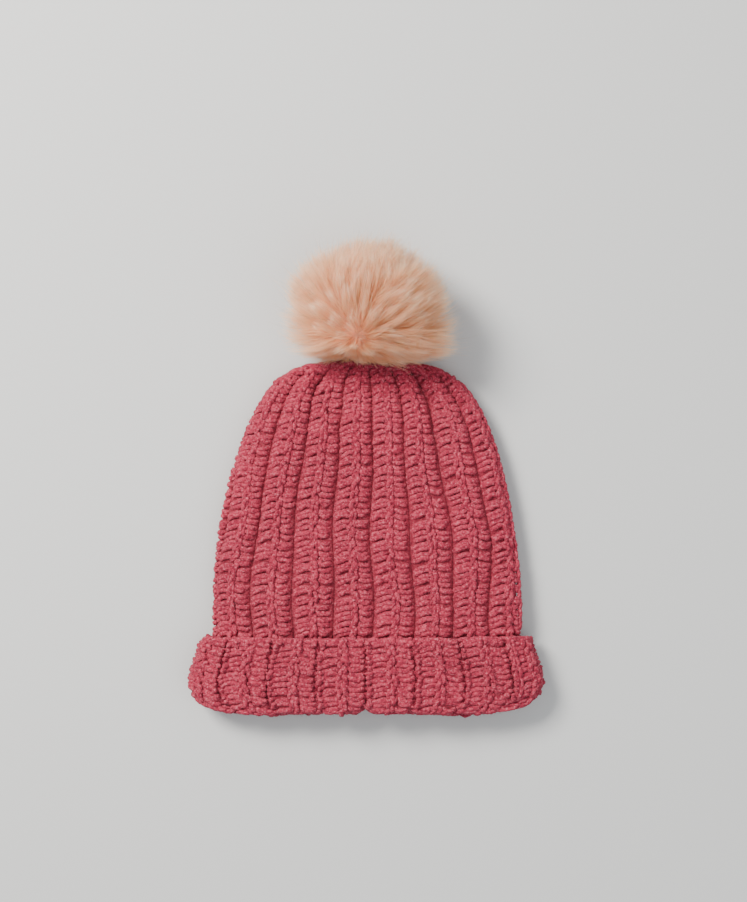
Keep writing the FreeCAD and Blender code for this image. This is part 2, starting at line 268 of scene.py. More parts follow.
def cuff_rows():
    """The fabric's other face: a strip inside the mouth, round the fold, up the cuff and over its edge."""
    rows = [np.stack([in_x, fold_line + d, CUFF_MID_Z + in_z], 1) for d in np.linspace(INSIDE, 0, 14)]
    first = len(rows) - 1
    cx, cz, dx, dz = (in_x + out_x) / 2, (in_z + out_z) / 2, (out_x - in_x) / 2, (out_z - in_z) / 2
    reach = np.hypot(dx, dz)
    for a in np.linspace(-90, 90, 19)[1:-1] * math.pi / 180:
        rows.append(np.stack([cx + dx * math.sin(a), fold_line - reach * math.cos(a) * 0.95,
                              CUFF_MID_Z + cz + dz * math.sin(a)], 1))
    last = len(rows)
    for t in np.linspace(0, 1, 24):
        y = fold_line + (CUFF_TOP_Y - EDGE_R - fold_line) * t
        x, z = cuff_face(y)
        rows.append(np.stack([x, y, CUFF_MID_Z + z], 1))
    lx, lz, _ = section(CUFF_TOP_W - FABRIC, CUFF_H - FABRIC, cuff_columns)
    mx, mz, hx, hz = (x + lx) / 2, (z + lz) / 2, (x - lx) / 2, (z - lz) / 2
    for a in np.linspace(90, -90, 9)[1:] * math.pi / 180:
        rows.append(np.stack([mx + hx * math.sin(a), y + EDGE_R * math.cos(a),
                              CUFF_MID_Z + mz + hz * math.sin(a)], 1))
    for d in (3, 6):
        rows.append(np.stack([lx, y - d, CUFF_MID_Z + lz], 1))
    return rows, first, last


rows, fold_from, fold_to = cuff_rows()
CUFF = Sheet(rows, [PER_RIB * k for k in (-2, -1, 0, 1, 2, 6, 7, 8, 9, 10)])
FOLD_V = (CUFF.run[fold_from], CUFF.run[fold_to])
soft, along = CUFF.unevenness(5, 12, 40)
CUFF.push(soft * 0.5 * smooth((along - FOLD_V[0]) / 8))


# ---------------------------------------------------------------- meshes from many like pieces
TABLE_SOFT = 0.8                 # height over the table within which soft fibres are pressed flat
AROUND, ALONG = 12, 15           # points round a strand of yarn and along one leg of a stitch

# Shares of a piece's UV square, as left, bottom, right and top.
WHOLE = (0, 0, 1, 1)
YARN_AREA, FUZZ_AREA, BACKING_AREA = (0, 0, 1, 0.86), (0.0, 0.862, 1.0, 0.868), (0, 0.87, 1, 1)
OUTSIDE_AREA, INSIDE_AREA, EDGE_AREA = (0, 0, 0.8, 0.86), (0.80, 0, 1.0, 0.60), (0.80, 0.60, 1.0, 0.86)


class Bag:
    """Collects quads and triangles with their own UV map, and makes one mesh of them."""

    def __init__(self):
        self.v, self.f, self.uv, self.n, self.slots = [], [], [], 0, []

    def add_faces(self, faces, uvs, slots=None):
        """Faces on points that are in the bag already, or about to be."""
        self.f.append(faces)
        self.uv.append(uvs)
        self.slots.append(np.zeros(len(faces), np.int32) if slots is None else slots)

    def add(self, verts, faces, uvs, slots=None):
        self.add_faces(faces + self.n, uvs, slots)
        self.v.append(verts)
        self.n += len(verts)

    def make(self, name, *materials):
        v = np.concatenate(self.v)
        z = v[:, 2]
        v[:, 2] = np.where(z < TABLE_SOFT, TABLE_SOFT * np.exp((z - TABLE_SOFT) / TABLE_SOFT), z)
        v = v.astype(np.float32) * MM
        loops = np.concatenate([f.ravel() for f in self.f]).astype(np.int32)
        total = np.concatenate([np.full(len(f), f.shape[1]) for f in self.f]).astype(np.int32)
        begin = np.concatenate([[0], np.cumsum(total)[:-1]]).astype(np.int32)
        mesh = bpy.data.meshes.new(name)
        mesh.vertices.add(len(v))
        mesh.vertices.foreach_set("co", v.ravel())
        mesh.loops.add(len(loops))
        mesh.loops.foreach_set("vertex_index", loops)
        mesh.polygons.add(len(total))
        mesh.polygons.foreach_set("loop_start", begin)
        mesh.polygons.foreach_set("loop_total", total)
        mesh.polygons.foreach_set("use_smooth", np.ones(len(total), bool))
        uv = np.concatenate([u.reshape(-1, 2) for u in self.uv]).astype(np.float32)
        mesh.uv_layers.new(name="OFBake").data.foreach_set("uv", uv.ravel())
        for material in materials:
            mesh.materials.append(material)
        mesh.polygons.foreach_set("material_index", np.concatenate(self.slots).astype(np.int32))
        mesh.update(calc_edges=True)
        mesh.validate()
        obj = bpy.data.objects.new(name, mesh)
        bpy.context.scene.collection.objects.link(obj)
        return obj


def spline(ctrl, n):
    """n points along a Catmull-Rom curve through ctrl, which is (strands, points, values)."""
    m = ctrl.shape[1]
    ext = np.concatenate([2 * ctrl[:, :1] - ctrl[:, 1:2], ctrl, 2 * ctrl[:, -1:] - ctrl[:, -2:-1]], 1)
    t = np.linspace(0, m - 1 - 1e-6, n)
    i = t.astype(int)
    f = (t - i)[None, :, None]
    a, b, c, d = (ext[:, i + k] for k in range(4))
    bend, twist = 2 * a - 5 * b + 4 * c - d, 3 * b - a - 3 * c + d
    return 0.5 * (2 * b + (c - a) * f + bend * f ** 2 + twist * f ** 3)


def frames(c, up):
    """Two directions across each point of the lines c, the first kept near up."""
    t = np.gradient(c, axis=1)
    t /= np.maximum(np.linalg.norm(t, axis=2, keepdims=True), 1e-9)
    n = up - (up * t).sum(2, keepdims=True) * t
    n /= np.maximum(np.linalg.norm(n, axis=2, keepdims=True), 1e-9)
    return n, np.cross(t, n)


def grid_faces(n, m):
    """The quads of a tube of n rings of m points, and their UVs."""
    j, i = np.meshgrid(np.arange(n - 1), np.arange(m), indexing="ij")
    after = (i + 1) % m
    quad = np.stack([j * m + i, j * m + after, (j + 1) * m + after, (j + 1) * m + i], 2).reshape(-1, 4)
    uv = [np.stack([(i + a) / m, (j + b) / (n - 1)], 2) for a, b in ((0, 0), (1, 0), (1, 1), (0, 1))]
    return quad, np.stack(uv, 2).reshape(-1, 4, 2)


def strands(bag, c, up, radius, rng, area):
    """Plied yarn along each line of c (strands, points, 3); area is this bag's share of the UV square."""
    k, n = c.shape[:2]
    a, b = frames(c, up)
    run = np.concatenate([np.zeros((k, 1)), np.cumsum(np.linalg.norm(np.diff(c, axis=1), axis=2), 1)], 1)
    th = np.linspace(0, 2 * math.pi, AROUND, endpoint=False)
    ply = 1.5 * (th[None, None] - run[..., None] * (2 * math.pi / 8.0) - rng.uniform(0, 6.28, (k, 1, 1)))
    r = radius[:, None, None] * (0.76 + 0.32 * np.abs(np.cos(ply)))
    end = np.linspace(0, 1, n)
    taper = np.clip(np.minimum(end, 1 - end) * n * 0.55, 0, 1) ** 0.5
    taper[[0, -1]] = 0.25
    r = r * taper[None, :, None]
    p = c[:, :, None] + (a[:, :, None] * np.cos(th)[None, None, :, None] * 0.94
                         + b[:, :, None] * np.sin(th)[None, None, :, None] * 1.06) * r[..., None]
    verts = p.reshape(-1, 3)
    quad, quv = grid_faces(n, AROUND)
    cap = np.array([[s, s + 1, AROUND - 2 - s, AROUND - 1 - s] for s in range(AROUND // 2 - 1)])
    tip = np.stack([cap / AROUND, np.zeros(cap.shape)], 2)
    far = np.stack([cap / AROUND, np.ones(cap.shape)], 2)
    one = np.concatenate([quad, cap[:, ::-1], cap + (n - 1) * AROUND])
    uv = np.concatenate([quv, tip[:, ::-1], far])
    faces = (one[None] + (np.arange(k) * n * AROUND)[:, None, None]).reshape(-1, 4)
    side = max(1, math.ceil(math.sqrt(k)))
    cell = np.stack([np.arange(k) % side, np.arange(k) // side], 1)[:, None, None]
    x0, y0, x1, y1 = area
    uvs = (cell + 0.06 + 0.88 * uv[None]) / side * np.array([x1 - x0, y1 - y0]) + np.array([x0, y0])
    bag.add(verts, faces, uvs.reshape(-1, 4, 2))


def unit(v):
    return v / np.maximum(np.linalg.norm(v, axis=-1, keepdims=True), 1e-9)


def hair_mesh(bag, p, radius, tint, seed, area=WHOLE):
    """Three-sided tapering hairs along p (hairs, points, 3); tint sets each hair's place across the UVs."""
    r = np.random.default_rng(seed)
    k, n = p.shape[:2]
    a, b = frames(p, r.normal(size=(k, 1, 3)) + 0 * p)
    s = np.linspace(0, 1, n)
    w = radius[:, None] * (1 - 0.82 * s ** 1.6)[None]
    th = np.arange(3) * 2 * math.pi / 3
    across = a[:, :, None] * np.cos(th)[:, None] + b[:, :, None] * np.sin(th)[:, None]
    v = p[:, :, None] + across * w[:, :, None, None]
    quad, _ = grid_faces(n, 3)
    ends = np.array([[2, 1, 0], [3 * n - 3, 3 * n - 2, 3 * n - 1]])
    first = (np.arange(k) * 3 * n)[:, None, None] + bag.n
    up = (np.arange(3 * n) // 3) / (n - 1)
    over = (np.arange(3 * n) % 3) / 3 * 0.006
    x0, y0, x1, y1 = area
    for faces in (quad, ends):
        u = tint[:, None, None] + over[faces][None]
        uv = np.stack([u, np.broadcast_to(up[faces][None], u.shape)], 3)
        uv = np.array([x0, y0]) + uv * np.array([x1 - x0, y1 - y0])
        bag.add_faces((faces[None] + first).reshape(-1, faces.shape[1]), uv)
    bag.v.append(v.reshape(-1, 3))
    bag.n += k * n * 3


def slab(bag, top, low, area):
    """A closed sheet between two grids of points."""
    n, m = top.shape[:2]
    verts = np.concatenate([top.reshape(-1, 3), low.reshape(-1, 3)])
    idx = np.arange(n * m).reshape(n, m)
    q = np.stack([idx[:-1, :-1], idx[:-1, 1:], idx[1:, 1:], idx[1:, :-1]], 2).reshape(-1, 4)
    off = n * m
    rim = np.concatenate([idx[0, :], idx[1:, -1], idx[-1, -2::-1], idx[-2:0:-1, 0]])
    nxt = np.roll(rim, -1)
    faces = np.concatenate([q, q[:, ::-1] + off, np.stack([nxt, rim, rim + off, nxt + off], 1)])
    g = np.stack(np.meshgrid(np.linspace(0, 1, n), np.linspace(0, 1, m), indexing="ij"), 2)
    g = g[..., ::-1].reshape(-1, 2)
    x0, y0, x1, y1 = area
    half = (x1 - x0) / 2
    a = g * np.array([half * 0.98, y1 - y0]) + np.array([x0, y0])
    b = a + np.array([half, 0])
    uv = np.concatenate([a, b])
    slots = np.zeros(len(faces), np.int32)
    # The face towards the yarn takes the second material, a darker copy of the yarn: painted shade in the
    # hollows between the legs.
    slots[:len(q)] = 1
    bag.add(verts, faces, uv[faces % len(uv)], slots)


# One stitch: the legs of its left half, the two legs of its ridge, and the legs of its right half.
# Each point is (place across the rib, place along in stitches, height over the face in mm).
LEFT = ((0.045, 0.08, -4.8), (0.065, 0.16, -3.0), (0.13, 0.32, -0.7), (0.25, 0.52, 0.1), (0.37, 0.60, 0.2),
        (0.45, 0.52, -0.8), (0.47, 0.34, -3.0))
RIDGE = ((0.50, -0.10, -3.2), (0.465, 0.12, -0.7), (0.455, 0.42, 0.55), (0.480, 0.74, 0.60),
         (0.520, 0.98, -0.3), (0.530, 1.12, -2.6))
SECOND = ((0.50, 0.34, -3.2), (0.545, 0.56, -0.7), (0.565, 0.86, 0.45), (0.550, 1.18, 0.50),
          (0.510, 1.42, -0.4), (0.500, 1.54, -2.6))
RIGHT = ((0.595, 0.84, -3.2), (0.63, 0.70, -1.0), (0.70, 0.56, -0.1), (0.78, 0.50, 0.0), (0.86, 0.52, -0.8),
         (0.915, 0.62, -2.8), (0.940, 0.72, -4.8))
LEGS = ((LEFT, 0.0), (LEFT, 0.39), (RIDGE, 0.0), (SECOND, 0.0), (RIGHT, 0.0), (RIGHT, 0.40))
FUZZ_PER_LEG, FUZZ_R = 7, 0.045


def stitch_lines(kind, shift, k, places, rng, scale):
    """Control lines of one leg for the stitches at these places along rib k."""
    c = np.array(kind, float)[None].repeat(len(places), 0)
    c = c + rng.normal(size=c.shape) * np.array([0.011, 0.055, 0.24])
    c += rng.normal(size=(len(places), 1, 3)) * np.array([0.013, 0.065, 0.24])
    return np.stack([k + c[..., 0], places[:, None] + (c[..., 1] + shift) * scale, c[..., 2]], 2)


def fuzz(bag, p, up, radius, rng):
    """Loose fibres that stand off the yarn."""
    which = np.repeat(np.arange(len(p)), FUZZ_PER_LEG)
    at = rng.integers(2, p.shape[1] - 2, len(which))
    t = unit(p[which, at + 1] - p[which, at - 1])
    u = unit(up[which, at])
    side = np.cross(t, u)
    a = rng.uniform(-1.35, 1.35, len(which))[:, None]
    out = u * np.cos(a) + side * np.sin(a)
    root = p[which, at] + out * radius[which][:, None] * 0.85
    go = t * rng.choice([-1.0, 1.0], len(which))[:, None] * 0.8
    go = go + out * rng.uniform(0.1, 0.75, (len(which), 1))
    go = unit(go + rng.normal(size=root.shape) * 0.35)
    turn = rng.normal(size=root.shape) * 0.5
    s = np.linspace(0, 1, 4)[None, :, None]
    long = rng.uniform(1.6, 3.4, (len(which), 1, 1))
    line = root[:, None] + go[:, None] * s * long + turn[:, None] * s ** 2 * 1.2
    hair_mesh(bag, line, np.full(len(which), FUZZ_R), np.zeros(len(which)), 7, FUZZ_AREA)


def rib(bag, sheet, k, v0, v1, seed, area=YARN_AREA, spread=1.0, lowest=-4.8, proud=0.0):
    """The stitches of rib k on a face from v0 to v1.

    Spread widens them about the rib's middle, lowest is as deep as they go, and proud lifts the ridge.
    """
    rng = np.random.default_rng(seed)
    count = max(1, round((v1 - v0) / PITCH))
    pitch = (v1 - v0) / count
    places = v0 + np.arange(count) * pitch
    sets = [spline(stitch_lines(kind, shift, k, places, rng, pitch), ALONG) for kind, shift in LEGS]
    line = np.concatenate(sets)
    line[..., 0] = k + 0.5 + (line[..., 0] - k - 0.5) * spread
    line[..., 1] = np.clip(line[..., 1], 0.5, sheet.length - 0.5)
    line[..., 2] = np.maximum(line[..., 2], lowest)
    line[2 * count:4 * count, :, 2] += proud
    p = sheet.at(line[..., 0], line[..., 1], line[..., 2] - YARN_R)
    up = sheet.at(line[..., 0], line[..., 1], line[..., 2] + 4) - p
    radius = YARN_R * rng.uniform(0.9, 1.1, len(p))
    radius[2 * count:4 * count] *= 0.92
    strands(bag, p, up, radius, rng, area)
    fuzz(bag, p, up, radius, rng)


def backing(bag, sheet, k, v0, v1, depth, thick, groove=1.6):
    """The body of the fabric behind the yarn's legs, with the rows' relief on its inner face too; its face
    towards the yarn is painted in shade.
    """
    n = max(4, int((v1 - v0) / 1.4))
    v, a = np.meshgrid(np.linspace(v0, v1, n), np.linspace(0, 1, 17), indexing="ij")
    edge = np.abs(2 * a - 1) ** 4
    top = sheet.at(k + a, v, -(depth + groove * edge))
    bumps = 0.45 * np.sin(2 * math.pi * (v / PITCH + 0.5 * np.abs(2 * ((2 * a) % 1) - 1)))
    bumps = bumps + 0.5 * np.cos(4 * math.pi * a)
    low = sheet.at(k + a, v, -(depth + thick) + bumps * 0.6)
    slab(bag, top, low, BACKING_AREA)


# ---------------------------------------------------------------- materials
def node_tree(name):
    """A material with a Principled shader, its node tree and the shader."""
    m = bpy.data.materials.new(name)
    m.use_nodes = True
    t = m.node_tree
    t.nodes.clear()
    out = t.nodes.new("ShaderNodeOutputMaterial")
    b = t.nodes.new("ShaderNodeBsdfPrincipled")
    t.links.new(b.outputs["BSDF"], out.inputs["Surface"])
    return m, t, b


def rough_and_bump(t, b, co, rough, rough_scale, height, strength, distance):
    """Roughness that varies between two values, and a fine relief from height."""
    spread = t.nodes.new("ShaderNodeMapRange")
    spread.inputs["To Min"].default_value, spread.inputs["To Max"].default_value = rough
    t.links.new(noise(t, co, rough_scale), spread.inputs["Value"])
    t.links.new(spread.outputs["Result"], b.inputs["Roughness"])
    bump = t.nodes.new("ShaderNodeBump")
    bump.inputs["Strength"].default_value = strength
    bump.inputs["Distance"].default_value = distance
    t.links.new(height, bump.inputs["Height"])
    t.links.new(bump.outputs["Normal"], b.inputs["Normal"])


def noise(t, vec, scale, detail=2.0, rough=0.5):
    n = t.nodes.new("ShaderNodeTexNoise")
    n.inputs["Scale"].default_value = scale
    n.inputs["Detail"].default_value = detail
    n.inputs["Roughness"].default_value = rough
    t.links.new(vec, n.inputs["Vector"])
    return n.outputs["Fac"]


def ramp(t, fac, stops):
    r = t.nodes.new("ShaderNodeValToRGB")
    e = r.color_ramp.elements
    while len(e) < len(stops):
        e.new(0.5)
    for x, (p, c) in zip(e, stops):
        x.position, x.color = p, (*c, 1)
    t.links.new(fac, r.inputs["Fac"])
    return r.outputs["Color"]


def mix(t, kind, fac, a, b):
    m = t.nodes.new("ShaderNodeMix")
    m.data_type, m.blend_type = "RGBA", kind
    for socket, value in ((m.inputs[0], fac), (m.inputs[6], a), (m.inputs[7], b)):
        if isinstance(value, bpy.types.NodeSocket):
            t.links.new(value, socket)
        else:
            socket.default_value = value
    return m.outputs[2]


def yarn_material(name, dark, mid, light, fleck):
    """Heathered wool: three tones mottled along the fibres, broad tonal change and pale flecks."""
    m, t, b = node_tree(name)
    co = t.nodes.new("ShaderNodeTexCoord").outputs["Object"]
    base = ramp(t, noise(t, co, 520.0, 4.0, 0.72), ((0.34, dark), (0.5, mid), (0.64, light)))
    broad = ramp(t, noise(t, co, 28.0, 2.0), ((0.3, (0.90, 0.88, 0.88)), (0.7, (1.06, 1.05, 1.05))))
    base = mix(t, "MULTIPLY", 1.0, base, broad)
    spots = ramp(t, noise(t, co, 820.0, 3.0, 0.65), ((0.52, (0, 0, 0)), (0.72, (0.8, 0.8, 0.8))))
    base = mix(t, "MIX", spots, base, (*fleck, 1))
    t.links.new(base, b.inputs["Base Color"])
    b.inputs["Sheen Weight"].default_value = 0.12
    b.inputs["Sheen Roughness"].default_value = 0.5
    b.inputs["Sheen Tint"].default_value = (1.0, 0.50, 0.56, 1)
    b.inputs["Specular IOR Level"].default_value = 0.18
    rough_and_bump(t, b, co, (0.78, 0.95), 700.0, noise(t, co, 1900.0, 3.0, 0.7), 0.5, 0.0005)
    return m


def cloth_material(name, dark, light, scale):
    """Two close tones of a fine weave, with its relief."""
    m, t, b = node_tree(name)
    co = t.nodes.new("ShaderNodeTexCoord").outputs["Object"]
    weave = noise(t, co, scale, 3.0, 0.6)
    t.links.new(ramp(t, weave, ((0.32, dark), (0.68, light))), b.inputs["Base Color"])
    rough_and_bump(t, b, co, (0.6, 0.9), scale * 1.7, weave, 0.4, 0.0003)
    return m


def fur_material():
    """Fur that pales from root to tip (V) and varies from hair to hair (U), a few of them dark."""
    m, t, b = node_tree("peach_fur")
    uv = t.nodes.new("ShaderNodeUVMap")
    uv.uv_map = "OFBake"
    sep = t.nodes.new("ShaderNodeSeparateXYZ")
    t.links.new(uv.outputs["UV"], sep.inputs["Vector"])
    length = ((0.0, (1.0, 0.20, 0.06)), (0.40, (1.0, 0.33, 0.12)), (0.75, (1.0, 0.46, 0.20)),
              (1.0, (1.0, 0.60, 0.31)))
    hair = ((0.0, (0.92, 0.88, 0.86)), (0.5, (1.0, 1.0, 1.0)), (0.93, (1.1, 1.1, 1.08)),
            (0.95, (0.30, 0.24, 0.22)), (1.0, (0.24, 0.19, 0.18)))
    along = ramp(t, sep.outputs["Y"], length)
    each = ramp(t, sep.outputs["X"], hair)
    t.links.new(mix(t, "MULTIPLY", 1.0, along, each), b.inputs["Base Color"])
    b.inputs["Roughness"].default_value = 0.62
    b.inputs["Specular IOR Level"].default_value = 0.25
    b.inputs["Subsurface Weight"].default_value = 0.5
    b.inputs["Subsurface Scale"].default_value = 0.004
    b.inputs["Sheen Weight"].default_value = 0.25
    b.inputs["Sheen Roughness"].default_value = 0.5
    b.inputs["Sheen Tint"].default_value = (1.0, 0.80, 0.66, 1)
    return m


ROSE = yarn_material("rose_yarn", (0.13, 0.006, 0.019), (0.27, 0.016, 0.038), (0.39, 0.040, 0.070),
                     (0.56, 0.14, 0.175))
# The same yarn made darker, for the backing's face towards the yarn: painted shade, not a second yarn.
SHADED_ROSE = yarn_material("rose_yarn_painted_shade", (0.10, 0.0045, 0.014), (0.175, 0.010, 0.023), (0.235, 0.020, 0.036),
                     (0.32, 0.07, 0.088))
FUR = fur_material()
BACKING_CLOTH = cloth_material("fur_backing", (0.62, 0.30, 0.18), (0.80, 0.46, 0.30), 900.0)


# ---------------------------------------------------------------- the hat
def place(obj, body, *nodes):
    """Yarn that rides on a body, in place of the nodes if any are named."""
    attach(obj, body)
    if nodes:
        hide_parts(*nodes)


WALL_END = WALL.length - 9.0     # where the last stitch ends, inside the drawn-up hole
for n in range(RIBS):
    k = n - 4
    bag = Bag()
    rib(bag, WALL, k, 0.5, WALL_END, 100 + n)
    backing(bag, WALL, k, 0.2, WALL.length - 0.5, depth=2.1, thick=2.5)
    side = "front" if n < 8 else "back"
    o = bag.make("%s_rib_yarn_%d" % (side, n % 8 + 1), ROSE, SHADED_ROSE)
    place(o, "hat", "%s_rib_%d" % (side, n % 8 + 1))

ROLL = CUFF.length - 13.5        # where the free edge starts to roll over
LINING = copy.copy(CUFF)         # the cuff's inner face
LINING.p, LINING.n = CUFF.p - CUFF.n * FABRIC, -CUFF.n


def edge_row(bag, k, seed):
    """The last rows' ends, lying along the cuff's free edge and over it."""
    rng = np.random.default_rng(seed)
    sets = []
    for v, count in ((ROLL - 0.6, 4), (ROLL + 2.0, 4), (ROLL + 4.6, 3), (ROLL + 7.2, 3)):
        for i in range(count):
            a0, a1 = (i + rng.uniform(-0.12, 0.1)) / count, (i + 1 + rng.uniform(0.0, 0.3)) / count
            t = np.linspace(0, 1, 6)
            slope = rng.uniform(-1.4, 1.4)
            d = -2.6 + 2.7 * np.sin(math.pi * (0.08 + 0.84 * t)) + rng.normal(0, 0.2)
            groove = -1.6 * np.abs(2 * (a0 + (a1 - a0) * t) - 1) ** 6
            place_v = v + slope * (t - 0.5) + rng.normal(0, 0.35)
            sets.append(np.stack([k + a0 + (a1 - a0) * t, place_v, d + groove], 1))
    line = spline(np.array(sets), ALONG)
    v = np.clip(line[..., 1], 0.5, CUFF.length - 0.5)
    p = CUFF.at(line[..., 0], v, line[..., 2] - YARN_R)
    up = CUFF.at(line[..., 0], v, line[..., 2] + 4) - p
    strands(bag, p, up, YARN_R * rng.uniform(0.9, 1.05, len(p)), rng, EDGE_AREA)


def panel(k):
    """The side of the cuff that rib k is on, and its number there."""
    if -3 <= k < 3:
        return "front", k + 4
    if 3 <= k < 5:
        return "right", k - 2
    if k < -5:
        return "back", k + 12
    return ("back", k - 4) if k >= 5 else ("left", k + 6)


def cuff_piece(k, side, n):
    """Yarn on both faces of the turned-up cuff, and its free edge."""
    bag = Bag()
    rib(bag, CUFF, k, FOLD_OUT, ROLL, 300 + k, OUTSIDE_AREA, spread=1.15, lowest=-1.1, proud=0.6)
    rib(bag, LINING, k, FOLD_OUT + 2.0, ROLL - 0.5, 400 + k, INSIDE_AREA)
    edge_row(bag, k, 450 + k)
    backing(bag, CUFF, k, FOLD_OUT, ROLL, depth=1.7, thick=1.2, groove=0.5)
    o = bag.make("cuff_%s_yarn_%d" % (side, n), ROSE, SHADED_ROSE)
    place(o, "cuff_" + side, "cuff_%s_rib_%d" % (side, n))
    if side in ("left", "right"):
        roll_flat(o)


def roll_flat(obj):
    """Gives a piece at a side edge of the cuff a mesh of its own."""
    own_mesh(obj)


def mouth_piece(k, side, n):
    """The strip of the wall's inner face that shows in the mouth."""
    bag = Bag()
    rib(bag, CUFF, k, FOLD_TOP, FOLD_IN, 600 + k)
    backing(bag, CUFF, k, FOLD_TOP, FOLD_IN, depth=2.1, thick=2.0)
    place(bag.make("mouth_%s_yarn_%d" % (side, n), ROSE, SHADED_ROSE), "hat")


def fold_piece(k, side, n):
    """Yarn round the fold, from the wall to the cuff."""
    bag = Bag()
    rib(bag, CUFF, k, FOLD_IN, FOLD_OUT, 500 + k)
    backing(bag, CUFF, k, FOLD_IN, FOLD_OUT, depth=2.1, thick=2.0)
    o = bag.make("fold_%s_yarn_%d" % (side, n), ROSE, SHADED_ROSE)
    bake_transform(o)
    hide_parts("fold_" + side)


# Places along the fabric's other face: the top of the strip in the mouth, and both ends of the fold.
FOLD_TOP, FOLD_IN, FOLD_OUT = FOLD_V[0] - 22.0, FOLD_V[0] - 0.5, FOLD_V[1] - 1.0
for k in range(-8, 8):
    cuff_piece(k, *panel(k))
    mouth_piece(k, *panel(k))
    fold_piece(k, *panel(k))


def chain(path, up, pitch, wide):
    """A row of chain stitches along a path: two leaning legs a stitch."""
    run = np.concatenate([[0], np.cumsum(np.linalg.norm(np.diff(path, axis=0), axis=1))])
    count = int(run[-1] / pitch)
    step = run[-1] / count
    rng = np.random.default_rng(count)
    out = []
    side = unit(np.cross(np.gradient(path, axis=0), up))
    for i in range(count):
        for hand in (-1, 1):
            t = np.linspace(-0.12, 1.22, 6)
            at = np.clip((i + t) * step, 0, run[-1])
            c = np.stack([np.interp(at, run, path[:, j]) for j in range(3)], 1)
            n = np.stack([np.interp(at, run, up[:, j]) for j in range(3)], 1)
            w = np.stack([np.interp(at, run, side[:, j]) for j in range(3)], 1)
            bulge = np.sin(math.pi * np.linspace(0, 1, 6))[:, None]
            out.append(c + w * hand * wide * bulge + n * (1.1 * bulge - 0.5) + rng.normal(0, 0.12, 3))
    line = spline(np.array(out), ALONG)
    return line, np.broadcast_to(up[len(up) // 2], line.shape) + 0 * line


def seam(name, path, up, pitch, wide, radius, seed, body, node):
    """A slip-stitched seam as one piece."""
    line, out = chain(path, up, pitch, wide)
    bag = Bag()
    strands(bag, line, out, np.full(len(line), radius), np.random.default_rng(seed), WHOLE)
    o = bag.make(name, ROSE)
    place(o, body, node)
    return o


def side_seam():
    """The seam up the right edge of the body."""
    s = np.linspace(174, 14, 60)
    slope = body_w(s + 1) - body_w(s - 1)
    long = np.hypot(2, slope)
    out = np.stack([2 / long, slope / long, 0 * long], 1)
    path = np.stack([body_w(s), CROWN_Y - s, mid_z(CROWN_Y - s)], 1) - out * 0.9
    seam("side_seam_yarn", path, out, 6.2, 1.25, 1.4, 61, "hat", "side_seam")


def cuff_seam():
    """The same seam in the cuff, in the groove beside its right edge."""
    v = np.linspace(FOLD_OUT + 4, ROLL + 0.5, 40)
    u = np.full(40, 3.14)
    path = CUFF.at(u, v, np.full(40, -0.3))
    out = unit(CUFF.at(u, v, np.full(40, 2.0)) - path)
    roll_flat(seam("cuff_seam_yarn", path, out, 6.4, 1.3, 1.2, 62, "cuff_right", "cuff_seam"))


def crown_gather():
    """One and a half turns of yarn that draw the crown together."""
    turn = np.linspace(0, 3 * math.pi, 56)
    drop = 1.1 + 3.0 * turn / (2 * math.pi)
    line = np.stack([7.6 * np.cos(turn), CROWN_Y - drop, BODY_MID_Z + 3.3 * np.sin(turn)], 1)[None]
    bag = Bag()
    up = np.broadcast_to([0.0, 1.0, 0.0], line.shape) + 0 * line
    strands(bag, line, up, np.full(1, 1.35), np.random.default_rng(63), WHOLE)
    place(bag.make("crown_gather_yarn_plied", ROSE), "hat", "crown_gather_yarn")


side_seam()
cuff_seam()
crown_gather()


# ---------------------------------------------------------------- the pompom
WHORL = np.array([-0.25, -0.70, 0.67])   # the side of the ball that the hair parts from
WHORL /= np.linalg.norm(WHORL)
# Where the pile's tufts point, at its rim, over its top and under it.
LOBES = np.array([(-12, 158, 40), (21, 159, 40), (4, 150, 62), (-32, 146, 36), (-48, 134, 40), (-56, 122, 44),
                  (33, 149, 38), (46, 133, 42), (55, 116, 44), (-59, 99, 40), (56, 97, 42), (-61, 79, 36),
                  (59, 80, 37), (0, 132, 82), (-36, 108, 77), (32, 112, 79), (-40, 82, 52), (40, 82, 52),
                  (0, 142, 8), (-38, 118, 6), (38, 118, 6)], float)
LOCKS, LOCK_LENGTH, LOCK_PULL = 520, 28.0, 0.85
TUFT_REACH = 17.0                # how near a tuft's point must be to draw a lock to it
HAIR_STEPS, HAIR_LENGTH = 7, 28.5
TABLE_HAIR = 6.0                 # height under which hair is laid over by the table
CROWN_TOP, CROWN_EDGE = 24.5, 78.0   # the crown's height and its edge, which hair stays outside


def ball_points(n, seed):
    """Directions spread evenly over a ball, with a little disorder."""
    r = np.random.default_rng(seed)
    i = np.arange(n) + 0.5
    z = 1 - 2 * i / n
    a = i * math.pi * (3 - math.sqrt(5))
    d = np.stack([np.cos(a) * np.sqrt(1 - z * z), np.sin(a) * np.sqrt(1 - z * z), z], 1)
    return unit(d + r.normal(size=(n, 3)) * 1.1 / math.sqrt(n))


def lean(n):
    """The way the pile lies at each place on the ball, away from its whorl."""
    return unit(n * (n @ WHORL)[:, None] - WHORL)


